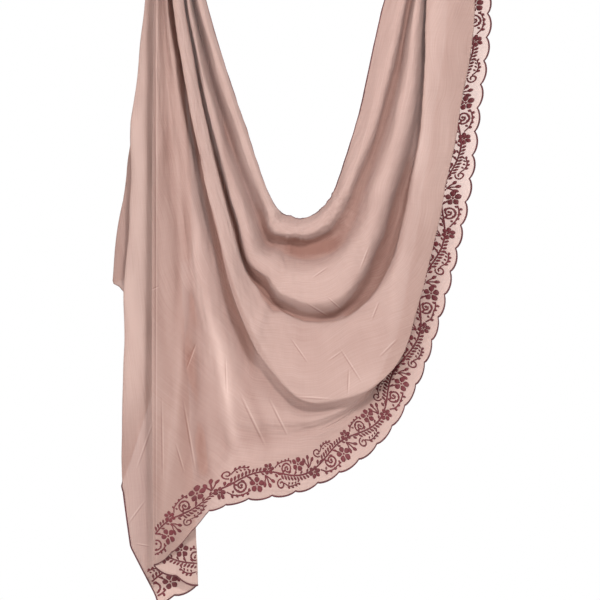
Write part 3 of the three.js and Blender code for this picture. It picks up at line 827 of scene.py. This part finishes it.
def tail_band():
    """Band of the tail: its lengths are negative, from the short end up to the tip at zero. A place is
    found in the unfolded cloth, square to the bottom edge, by halving the span of drops."""
    tail = shape(Tail)
    last = TAIL_ROWS[-1, 0]
    reach = tail_value(6, last)
    lengths = -np.arange(0.0, reach, BAND_STEP)[::-1]
    distances = np.arange(0.0, BAND_DEPTH, BAND_STEP)
    slope = last * TAIL_TIP_RISE / reach
    way = unit(np.array([1.0, slope]))
    along = -lengths[:, None] + distances * way[1]
    level = last * (1 - TAIL_TIP_RISE) - lengths[:, None] * slope - distances * way[0]
    low, high = np.full(level.shape, TAIL_RISE_START - 100.0), np.full(level.shape, last)
    for _ in range(24):
        drop = (low + high) / 2
        share = np.clip(along / tail_value(6, drop), 0, 1)
        reached = drop * (1 - TAIL_TIP_RISE * smooth_step(TAIL_RISE_START, last, drop) * (1 - share))
        low, high = np.where(reached < level, drop, low), np.where(reached < level, high, drop)
    row = drop / (tail.drops[1] - tail.drops[0])
    runs = tail.distance[np.clip(np.round(row).astype(int), 0, len(tail.drops) - 1)]
    last_before = np.clip((runs < along[..., None]).sum(axis=-1) - 1, 0, runs.shape[-1] - 2)
    begin = np.take_along_axis(runs, last_before[..., None], -1)[..., 0]
    end = np.take_along_axis(runs, last_before[..., None] + 1, -1)[..., 0]
    column = last_before + np.clip((along - begin) / np.maximum(end - begin, 1e-6), 0, 1)
    inside = (along > 0.5) & (along < tail_value(6, drop) - 3)
    normals = -grid_normals(tail.points)
    return Band(lengths, bilinear(tail.points, row, column), bilinear(normals, row, column), inside)


def lenses(rows, flip):
    """Satin-stitched leaves, petals and dots: closed pointed domes in flat cloth.

    Each row is length, distance in, angle in degrees, size along and size across. Half the width
    goes as the sine of the share along, to the power 0.7, and is fullest past the middle. With
    flip, the shape is mirrored in the band's middle.
    """
    rows = np.array(rows, dtype=float)
    a = np.linspace(0.0, 1.0, 7)
    full = np.sin(np.pi * a ** 1.25) ** 0.7
    turn = np.arange(6) * np.pi / 3
    along = a[None, :, None] * rows[:, 3, None, None] + 0 * turn
    across = full[None, :, None] * np.cos(turn) * rows[:, 4, None, None] / 2
    height = full[None, :, None] * np.sin(turn) * SATIN_HEIGHT + 0 * across
    angle = np.radians(rows[:, 2])[:, None, None]
    x = rows[:, 0, None, None] + along * np.cos(angle) - across * np.sin(angle)
    y = rows[:, 1, None, None] + along * np.sin(angle) + across * np.cos(angle)
    flat = np.stack([x, np.where(flip, -y, y), height], axis=-1)
    return list(zip(flat, np.stack([along, across * 0.4], axis=-1)))


def stems(curves, flip):
    """Chain-stitched lines in flat cloth: a flat tube whose width swells once each stitch."""
    made = []
    for points, half in curves:
        points = np.asarray(points, dtype=float)
        smooth = catmull(points, np.linspace(0, len(points) - 1, 6 * len(points)))
        smooth = np.stack([smooth[:, 0], np.where(flip, -smooth[:, 1], smooth[:, 1]), 0 * smooth[:, 0]], axis=-1)
        at, (path,) = evenly(smooth, step=CHAIN_STITCH / 3)
        way = unit(np.gradient(path, axis=0))
        side = np.stack([-way[:, 1], way[:, 0], 0 * way[:, 0]], axis=-1)
        up = np.zeros_like(path) + (0.0, 0.0, 1.0)
        swell = 0.78 + 0.4 * np.abs(np.sin(np.pi * at / CHAIN_STITCH))
        tube = sweep(path, side, up, half * swell, SATIN_HEIGHT * 0.85 * swell, 6)
        uv = np.stack(np.broadcast_arrays(at[:, None], np.arange(6)[None, :] * half / 3), axis=-1)
        made.append((tube, uv))
    return made


def spiral(x, y, angle, start, end, turns):
    """Points of a curl: the distance from its centre shrinks evenly as it turns."""
    t = np.linspace(0, 1, int(10 * abs(turns)) + 4)
    radius, way = start + (end - start) * t, math.radians(angle) + turns * 2 * np.pi * t
    return np.stack([x + radius * np.cos(way), y + radius * np.sin(way)], axis=-1)


def vine(u):
    """Height of the main stem at u along half a repeat, and its direction in degrees."""
    v = -6 * np.cos(np.pi * u / HALF_REPEAT) + 7 * np.sin(np.pi * u / HALF_REPEAT)
    slope = np.pi / HALF_REPEAT * (6 * np.sin(np.pi * u / HALF_REPEAT) + 7 * np.cos(np.pi * u / HALF_REPEAT))
    return v, np.degrees(np.arctan(slope))


def rosette(x, y, petals, reach, size, width, turned):
    """Rows of a flower: petals from near its centre outwards, and a dot."""
    angles = turned + 360 / petals * np.arange(petals)
    rows = [(x + reach * math.cos(math.radians(a)), y + reach * math.sin(math.radians(a)), a, size, width)
            for a in angles]
    return rows + [(x - 2.0, y, 0, 4.0, 4.0)]


def half_repeat():
    """Rows of lenses and list of stems for half a repeat, from the band's middle line."""
    rows, curves = [], []
    u = np.linspace(0, HALF_REPEAT, 14)
    curves.append((np.stack([u, vine(u)[0]], axis=-1), 1.5))
    for number, place in enumerate(np.arange(11.0, 56.0, 5.4)):
        v, angle = vine(place)
        rows.append((place, v + 0.8, angle + 52, 10.5 - 0.3 * number, 4.2))
        if number % 2 == 0:
            rows.append((place + 2.6, v - 0.8, angle - 46, 7.5, 3.8))
    curl = spiral(24.5, -8.0, 150, 10.5, 2.2, 1.45)
    curves.append((np.concatenate([[(4.0, vine(4.0)[0]), (9.0, -1.0)], curl]), 1.5))
    rows.append((22.6, -8.2, 20, 5.0, 5.0))
    rows += rosette(48.5, -9.5, 5, 1.6, 11.0, 9.4, 12)
    curves.append(([(33.0, 8.0), (38.0, 2.0), (43.0, -3.0)], 1.3))
    rows += rosette(70.0, 12.5, 6, 1.4, 9.0, 7.0, 0)
    curves.append(([(54.0, vine(54.0)[0]), (59.0, 9.5), (63.0, 11.5)], 1.3))
    for angle, reach in ((-98, 10.0), (-70, 13.0), (-42, 11.5)):
        way = math.cos(math.radians(angle)), math.sin(math.radians(angle))
        x, y = 63 + reach * way[0], 3.0 + reach * way[1]
        curves.append(([(63, 3.0), ((63 + x) / 2 + 0.8, (3.0 + y) / 2), (x, y)], 1.2))
        rows.append((x - 1.5 * way[0], y - 1.5 * way[1], angle, 10.5, 5.8))
    curves.append(([(2.0, -13.0), (9.0, -18.0), (19.0, -20.5), (30.0, -20.0), (38.0, -17.5)], 1.2))
    for number, place in enumerate((7.0, 15.0, 23.0, 31.0)):
        rows.append((place, -17.5 - 0.6 * number, -58, 6.0, 4.4))
        rows.append((place + 3.0, -17.0 - 0.5 * number, 62, 5.4, 3.8))
    curves.append((spiral(9.0, 13.5, -80, 7.4, 1.8, -1.2), 1.3))
    curves.append(([(14.0, 12.5), (20.0, 17.5), (28.0, 20.0), (37.0, 19.0)], 1.1))
    for number, place in enumerate((19.0, 24.5, 30.0, 35.5)):
        rows.append((place, 17.0 + 2.4 * math.sin(0.9 * number), 58 - 12 * number, 6.4, 3.8))
        rows.append((place + 1.5, 16.6 + 2.0 * math.sin(0.9 * number), -48, 5.0, 3.2))
    for place, angle in ((0.5, 62), (76.0, 118)):
        rows.append((place, vine(place)[0] + 1.5, angle, 9.0, 4.8))
    return rows, curves


class NodeTree:
    """Adds nodes to a tree. Each input is given a plain value or the output that feeds it."""

    def __init__(self, tree):
        self.nodes, self.links = tree.nodes, tree.links

    def feed(self, node, inputs):
        """Sets or links inputs of a node, by name or number."""
        for key, value in inputs.items():
            if isinstance(value, bpy.types.NodeSocket):
                self.links.new(value, node.inputs[key])
            else:
                node.inputs[key].default_value = value

    def add(self, kind, inputs=None, **settings):
        """Adds a shader node with its settings and inputs, and gives its outputs."""
        node = self.nodes.new("ShaderNode" + kind)
        for key, value in settings.items():
            setattr(node, key, value)
        self.feed(node, inputs or {})
        return node.outputs

    def math(self, operation, *values, clamp=False):
        """Output of a Math node."""
        return self.add("Math", dict(enumerate(values)), operation=operation, use_clamp=clamp)[0]

    def between(self, dark, light, shade):
        """Colour between a dark and a light one by a shade from -0.5 to 0.5."""
        share = self.add("MapRange", {"From Min": -0.5, "From Max": 0.5, "Value": shade})[0]
        return self.add("Mix", {0: share, 6: (*dark, 1.0), 7: (*light, 1.0)}, data_type="RGBA")[2]


def node_group(name, vectors, floats, results):
    """New node group with vector and float inputs and float results: the group, its NodeTree, what it is
    given, and the node that takes its results."""
    group = bpy.data.node_groups.new(name, "ShaderNodeTree")
    for names, way, kind in ((vectors, "INPUT", "Vector"), (floats, "INPUT", "Float"), (results, "OUTPUT", "Float")):
        for socket in names:
            group.interface.new_socket(name=socket, in_out=way, socket_type="NodeSocket" + kind)
    return group, NodeTree(group), group.nodes.new("NodeGroupInput").outputs, group.nodes.new("NodeGroupOutput")


def weave_group():
    """Node group: plain weave with slubs from a UV in metres. Puts out a height and a shade."""
    group, tree, given, end = node_group("Slub weave", ["Vector"], ["Threads", "Slub"], ["Height", "Shade"])

    def stretched(x, y, share):
        """Noise about zero, with about x and y waves to a metre, times a share."""
        scaled = tree.add("VectorMath", {0: given["Vector"], 1: (x, y, 1.0)}, operation="MULTIPLY")[0]
        noise = tree.add("TexNoise", {"Scale": 1.0, "Detail": 2.0, "Vector": scaled})["Fac"]
        return tree.math("MULTIPLY", tree.math("SUBTRACT", noise, 0.5), share)

    place = tree.add("SeparateXYZ", {0: given["Vector"]})
    turns = tree.math("MULTIPLY", given["Threads"], 2 * math.pi)
    warp, weft = (tree.math("SINE", tree.math("MULTIPLY", place[axis], turns)) for axis in ("X", "Y"))
    slubs = tree.math("ADD", stretched(14.0, 700.0, 0.8), stretched(520.0, 22.0, 0.2))
    slubs = tree.math("MULTIPLY", slubs, given["Slub"])
    threads = tree.math("MULTIPLY", tree.math("MULTIPLY", warp, weft), 0.35)
    tree.feed(end, {"Height": tree.math("ADD", threads, slubs),
                    "Shade": tree.math("ADD", slubs, stretched(7.0, 11.0, 0.16))})
    return group


def painted_crease_group():
    """Node group: one painted crease, painted light on one side and painted shade on the other, added to Below.

    Way is its direction over its length and Side the way across over its half width, so that their
    products with the point less Start run from 0 to 1 along it and from -1 to 1 across it.
    """
    group, tree, given, end = node_group("Painted crease light and shade", ["Vector", "Start", "Way", "Side"], ["Below"], ["Shade"])
    away = tree.add("VectorMath", {0: given["Vector"], 1: given["Start"]}, operation="SUBTRACT")[0]
    along, across = (tree.add("VectorMath", {0: away, 1: given[name]}, operation="DOT_PRODUCT")["Value"]
                     for name in ("Way", "Side"))
    ends = tree.math("MULTIPLY", tree.math("MULTIPLY", along, tree.math("SUBTRACT", 1.0, along)), 4.0, clamp=True)
    near = tree.math("SUBTRACT", 1.0, tree.math("ABSOLUTE", across), clamp=True)
    profile = tree.math("MULTIPLY", tree.math("MULTIPLY", near, across), ends)
    tree.feed(end, {"Shade": tree.math("ADD", profile, given["Below"])})
    return group


def new_material(name):
    """New material with nodes, its NodeTree, and its Principled BSDF."""
    material = bpy.data.materials.new(name)
    material.use_nodes = True
    tree = NodeTree(material.node_tree)
    return material, tree, tree.nodes["Principled BSDF"]


def cloth_material(settings):
    """Semi-sheer slub weave: matte, partly see-through, lit through from behind, with painted shade in its colour."""
    if "Sheer slub cloth" in bpy.data.materials:
        return bpy.data.materials["Sheer slub cloth"]
    material, tree, surface = new_material("Sheer slub cloth")
    uv = tree.add("UVMap", uv_map="cloth")[0]
    valley, sheer = (tree.add("Attribute", attribute_name=name)["Fac"] for name in ("valley", "sheer"))
    weave = tree.add("Group", {"Vector": uv, "Threads": 1500.0, "Slub": 0.42}, node_tree=weave_group())
    where, crease, painted_creases = tree.add("TexCoord")["Object"], painted_crease_group(), 0.0
    # Each fine crease adds painted light on one side and painted shade on the other.
    for x1, d1, x2, d2, width in PAINTED_FINE_CREASES:
        way = np.array([x2 - x1, 0.0, d1 - d2])
        length = np.linalg.norm(way)
        painted_creases = tree.add("Group", {
            "Vector": where, "Start": (x1 * MM, 0.0, -d1 * MM), "Way": way / length ** 2 / MM,
            "Side": (-way[2] / length / width / MM, 0.0, way[0] / length / width / MM), "Below": painted_creases,
        }, node_tree=crease)["Shade"]
    # The colour lies between the painted shade and painted light colours, set by the painted shade attribute, the
    # painted creases and the weave's random tone.
    shade = tree.math("MULTIPLY_ADD", valley, -PAINTED_SHADE_CONTRAST, tree.math("ADD", painted_creases, weave["Shade"]))
    colour = tree.between(settings.painted_shade_colour, settings.painted_light_colour, shade)
    least, most = (1 - math.sqrt(share) / (1 - LIT_THROUGH)
                   for share in (settings.see_through, settings.see_through_edge))
    solid = tree.add("MapRange", {"To Min": least, "To Max": most, "Value": sheer})[0]
    # The cloth is made less see-through where painted shade lies, so that the painted shade stays dark.
    painted_shade_opacity = tree.add("MapRange", {"From Max": 0.8, "Value": valley})[0]
    tree.feed(surface, {
        "Base Color": colour, "Roughness": 0.86, "Specular IOR Level": 0.2, "Sheen Weight": 0.06,
        "Sheen Roughness": 0.5, "Sheen Tint": (0.9, 0.6, 0.55, 1.0), "Alpha": tree.math("MAXIMUM", painted_shade_opacity, solid),
        "Normal": tree.add("Bump", {"Strength": 0.25, "Distance": 0.0003, "Height": weave["Height"]})[0]})
    deeper = tree.add("Gamma", {"Color": colour, "Gamma": 1.5})[0]
    through = tree.add("BsdfTranslucent", {"Color": deeper})[0]
    lit = tree.add("MixShader", {0: LIT_THROUGH, 1: surface.outputs[0], 2: through})[0]
    tree.feed(tree.nodes["Material Output"], {"Surface": lit})
    return material


def thread_material(name, colour, pitch, roughness):
    """Twisted thread: fine slanting ridges across the UV, painted light on and painted shade between them, and slow
    random tone.
    """
    if name in bpy.data.materials:
        return bpy.data.materials[name]
    material, tree, surface = new_material(name)
    uv = tree.add("UVMap", uv_map="cloth")[0]
    ridges = tree.add("TexWave", {"Vector": uv, "Scale": 0.628 / pitch, "Distortion": 1.2, "Detail": 1.0},
                      wave_type="BANDS", bands_direction="DIAGONAL")["Fac"]
    where = tree.add("TexCoord")["Object"]
    cloud = tree.add("TexNoise", {"Vector": where, "Scale": 26.0, "Detail": 3.0})["Fac"]
    # Shade of the colour: painted light and shade of the twist from the ridges, plus slow random tone from the cloud.
    shade = tree.math("ADD", ridges, tree.math("MULTIPLY_ADD", cloud, 1.3, -1.15))
    dark, light = (tuple(min(part * share, 1.0) for part in colour) for share in (0.55, 1.75))
    tree.feed(surface, {
        "Base Color": tree.between(dark, light, shade), "Roughness": roughness, "Specular IOR Level": 0.35,
        "Sheen Weight": 0.05, "Normal": tree.add("Bump", {"Strength": 0.5, "Distance": 0.0002, "Height": ridges})[0]})
    return material


LENGTH = {"precision": 5, "unit": "LENGTH"}
SHARE = {"min": 0.0, "max": 0.6, "subtype": "FACTOR"}
COLOUR = {"size": 3, "min": 0.0, "max": 1.0, "subtype": "COLOR"}


class HijabSettings(PropertyGroup):
    """Sizes and colours of the scarf."""

    thickness: FloatProperty(name="Cloth thickness", description="Thickness of the woven cloth",
                             default=0.0004, min=0.0002, max=0.001, **LENGTH)
    hem_width: FloatProperty(name="Hem width", description="Width of the overlocked hem",
                             default=0.0025, min=0.001, max=0.008, **LENGTH)
    edge_width: FloatProperty(name="Scalloped edge width", description="Width of the stitched edge of the scallops",
                              default=0.0031, min=0.001, max=0.008, **LENGTH)
    see_through: FloatProperty(name="See-through", default=0.045, **SHARE,
                               description="Share of light that passes straight through one layer")
    see_through_edge: FloatProperty(name="See-through of the border", default=0.30, **SHARE,
                                    description="The same share along the border")
    # The cloth's colour is painted between these two by the painted shade: painted light on ridges, painted shade in
    # folds.
    painted_light_colour: FloatVectorProperty(name="Cloth colour on ridges", default=(0.675, 0.525, 0.48), **COLOUR,
                                      description="Colour of the cloth on its ridges")
    painted_shade_colour: FloatVectorProperty(name="Cloth colour in valleys", default=(0.295, 0.157, 0.128), **COLOUR,
                                       description="Colour of the cloth in its folds")
    hem_colour: FloatVectorProperty(name="Hem thread colour", default=(0.075, 0.02, 0.024), **COLOUR,
                                    description="Colour of the overlock thread")
    thread_colour: FloatVectorProperty(name="Embroidery colour", default=(0.095, 0.015, 0.02), **COLOUR,
                                       description="Colour of the embroidery thread")


class HIJAB_OT_front(Operator):
    """Makes the front cloth: left leg, swag and right leg, with creases and a scalloped edge"""

    bl_idname = "hijab.front"
    bl_label = "Front cloth"

    def execute(self, context):
        settings = context.scene.hijab
        cloth = shape(Cloth)
        points = cloth.points
        across = run_lengths(points.transpose(1, 0, 2)).T
        along = run_lengths(points[:, points.shape[1] // 2])
        uv = np.stack([np.broadcast_to(along[:, None], across.shape), across], axis=-1)
        # Painted shade for the cloth's colour: the painted fold shade, less painted light on the see-through border.
        valley = valley_shade(points, cloth.sections, cloth.folds) - BORDER_PAINTED_LIGHT * cloth.sheer
        normals = grid_normals(points)
        for name, node, first, last, _ in FRONT_PARTS:
            start, end = (int(np.abs(cloth.sections - SECTION_NAMES.index(at)).argmin()) for at in (first, last))
            part = slice(start, end + 1)
            mesh = shell_mesh(name, points[part], normals[part], settings.thickness / MM, uv[part],
                              {"valley": valley[part], "sheer": cloth.sheer[part]},
                              (start == 0, end == len(points) - 1))
            piece = add_piece(mesh, cloth_material(settings), rim=2 * (end - start))
            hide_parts(node)
        return {"FINISHED"}


class HIJAB_OT_tail(Operator):
    """Makes the tail: the cloth folded behind the left leg, down to the short end"""

    bl_idname = "hijab.tail"
    bl_label = "Tail"

    def execute(self, context):
        settings = context.scene.hijab
        tail = shape(Tail)
        points = tail.points
        along = np.broadcast_to(tail.drops[:, None], tail.distance.shape)
        mesh = new_mesh("tail_cloth", points, quads(*points.shape[:2]).tolist(),
                        np.stack([along, tail.distance], axis=-1), {"valley": tail.valley, "sheer": tail.sheer})
        rework(mesh, merge_close)
        piece = add_piece(mesh, cloth_material(settings))
        shell = piece.modifiers.new("Thickness", "SOLIDIFY")
        shell.thickness, shell.offset, shell.use_even_offset = settings.thickness, 0.0, False
        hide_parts("tail")
        return {"FINISHED"}


class HIJAB_OT_hems(Operator):
    """Makes the narrow overlocked hem of the long plain edge and of the short end"""

    bl_idname = "hijab.hems"
    bl_label = "Plain hems"

    def execute(self, context):
        settings = context.scene.hijab
        front, end, inside = shape(Cloth).points, shape(Tail).points[:, -1], shape(Tail).inside
        long_edge = front[:, 0], front[:, 4] - front[:, 0], grid_normals(front)[:, 1]
        short_end = end, inside, np.cross(inside, np.gradient(end, axis=0))
        add_edging("plain_hem", [long_edge, short_end], settings.hem_width, HEM_HEIGHT, settings)
        return {"FINISHED"}


class HIJAB_OT_scallops(Operator):
    """Makes the stitched edge that follows the scallops of the front cloth and the tail"""

    bl_idname = "hijab.scallops"
    bl_label = "Scalloped edge"

    def execute(self, context):
        settings = context.scene.hijab
        cloth, tail = shape(Cloth), shape(Tail).points
        after = cloth.sections >= TIP
        front, normals = cloth.points[after], grid_normals(cloth.points)[after]
        long_edge = front[:, -1], front[:, -4] - front[:, -1], normals[:, -2]
        keep = np.append(True, np.linalg.norm(np.diff(tail[-1], axis=0), axis=-1) > 0.05)
        low_edge = tail[-1][keep], (tail[-4] - tail[-1])[keep], grid_normals(tail)[-2][keep]
        add_edging("scalloped_edge", [long_edge, low_edge], settings.edge_width, EDGE_HEIGHT, settings)
        return {"FINISHED"}


class HIJAB_OT_embroidery(Operator):
    """Makes the embroidered vine along the scalloped edge, on the front cloth and on the tail"""

    bl_idname = "hijab.embroidery"
    bl_label = "Embroidered vine"

    def execute(self, context):
        settings = context.scene.hijab
        rows, curves = half_repeat()
        tubes = []
        for band in (front_band(), tail_band()):
            first = math.floor(band.start / HALF_REPEAT)
            last = math.ceil((band.start + band.step * len(band.points)) / HALF_REPEAT)
            for number in range(first, last):
                flip = number % 2 == 1
                for flat, uv in lenses(rows, flip) + stems(curves, flip):
                    points, on = band.lay(flat + (number * HALF_REPEAT, BAND_MIDDLE, 0.0))
                    keep = np.append(on.all(axis=1), False)
                    begin = np.argmax(keep)
                    run = np.argmin(keep[begin:])
                    if run == len(flat) or (len(flat) > 8 and keep.sum() > 8 and run > 6):
                        tubes.append((points[begin:begin + run], uv[begin:begin + run]))
        mesh = tube_mesh("embroidery", tubes)
        add_piece(mesh, thread_material("Embroidery thread", settings.thread_colour, *VINE_THREAD))
        return {"FINISHED"}


class HIJAB_OT_stage(Operator):
    """Makes the camera, the pale floor and the soft studio lights"""

    bl_idname = "hijab.stage"
    bl_label = "Stage"

    def execute(self, context):
        scene = context.scene
        left, right, front, back, level = FLOOR
        floor = bpy.data.meshes.new("floor")
        floor.from_pydata([(left, front, level), (right, front, level), (right, back, level), (left, back, level)],
                          [], [(0, 1, 2, 3)])
        material, tree, surface = new_material("Pale floor")
        tree.feed(surface, {"Base Color": (0.82, 0.82, 0.81, 1.0), "Roughness": 0.9})
        floor.materials.append(material)
        placed("floor", floor)
        world = bpy.data.worlds.new("Studio")
        world.use_nodes = True
        tree = NodeTree(world.node_tree)
        soft = tree.nodes["Background"]
        tree.feed(soft, {"Color": (*AMBIENT_COLOUR, 1.0), "Strength": AMBIENT})
        white = tree.add("Background", {"Color": (1.0, 1.0, 1.0, 1.0)})[0]
        seen = tree.add("LightPath")["Is Camera Ray"]
        sky = tree.add("MixShader", {0: seen, 1: soft.outputs[0], 2: white})[0]
        tree.feed(tree.nodes["World Output"], {"Surface": sky})
        scene.world = world
        scene.view_settings.view_transform = "Standard"
        for name, place, size, power in LIGHTS:
            lamp = bpy.data.lights.new(name, "AREA")
            lamp.shape, lamp.size, lamp.energy, lamp.color = "DISK", size, power, WARM
            light = placed(name, lamp, place)
            light.rotation_mode = "QUATERNION"
            light.rotation_quaternion = (mathutils.Vector(CENTRE) - mathutils.Vector(place)).to_track_quat("-Z", "Y")
        lens = bpy.data.cameras.new("camera")
        lens.sensor_width, lens.clip_end = SENSOR, 100.0
        lens.lens = SENSOR * CAMERA_DISTANCE / PHOTO_WIDTH
        scene.camera = placed("camera", lens, (CENTRE[0], CENTRE[1] - CAMERA_DISTANCE, CENTRE[2]))
        scene.camera.rotation_euler = (math.pi / 2, 0.0, 0.0)
        return {"FINISHED"}


class HIJAB_PT_panel(Panel):
    """Lists the scarf's sizes, colours and pieces"""

    bl_idname = "HIJAB_PT_panel"
    bl_label = "Draped hijab"
    bl_space_type = "VIEW_3D"
    bl_region_type = "UI"
    bl_category = "Hijab"

    def draw(self, context):
        for name in HijabSettings.__annotations__:
            self.layout.prop(context.scene.hijab, name)
        for maker in MAKERS:
            self.layout.operator(maker.bl_idname)


MAKERS = (HIJAB_OT_front, HIJAB_OT_tail, HIJAB_OT_hems, HIJAB_OT_scallops, HIJAB_OT_embroidery,
          HIJAB_OT_stage)
CLASSES = (HijabSettings, *MAKERS, HIJAB_PT_panel)


def register():
    """Registers the classes and the settings of the scene."""
    for made in CLASSES:
        bpy.utils.register_class(made)
    bpy.types.Scene.hijab = PointerProperty(type=HijabSettings)


def unregister():
    """Takes the settings and the classes away."""
    del bpy.types.Scene.hijab
    for made in reversed(CLASSES):
        bpy.utils.unregister_class(made)


def main():
    """Makes every piece and the stage."""
    register()
    for maker in MAKERS:
        group, name = maker.bl_idname.split(".")
        getattr(getattr(bpy.ops, group), name)()


if __name__ == "__main__":
    main()
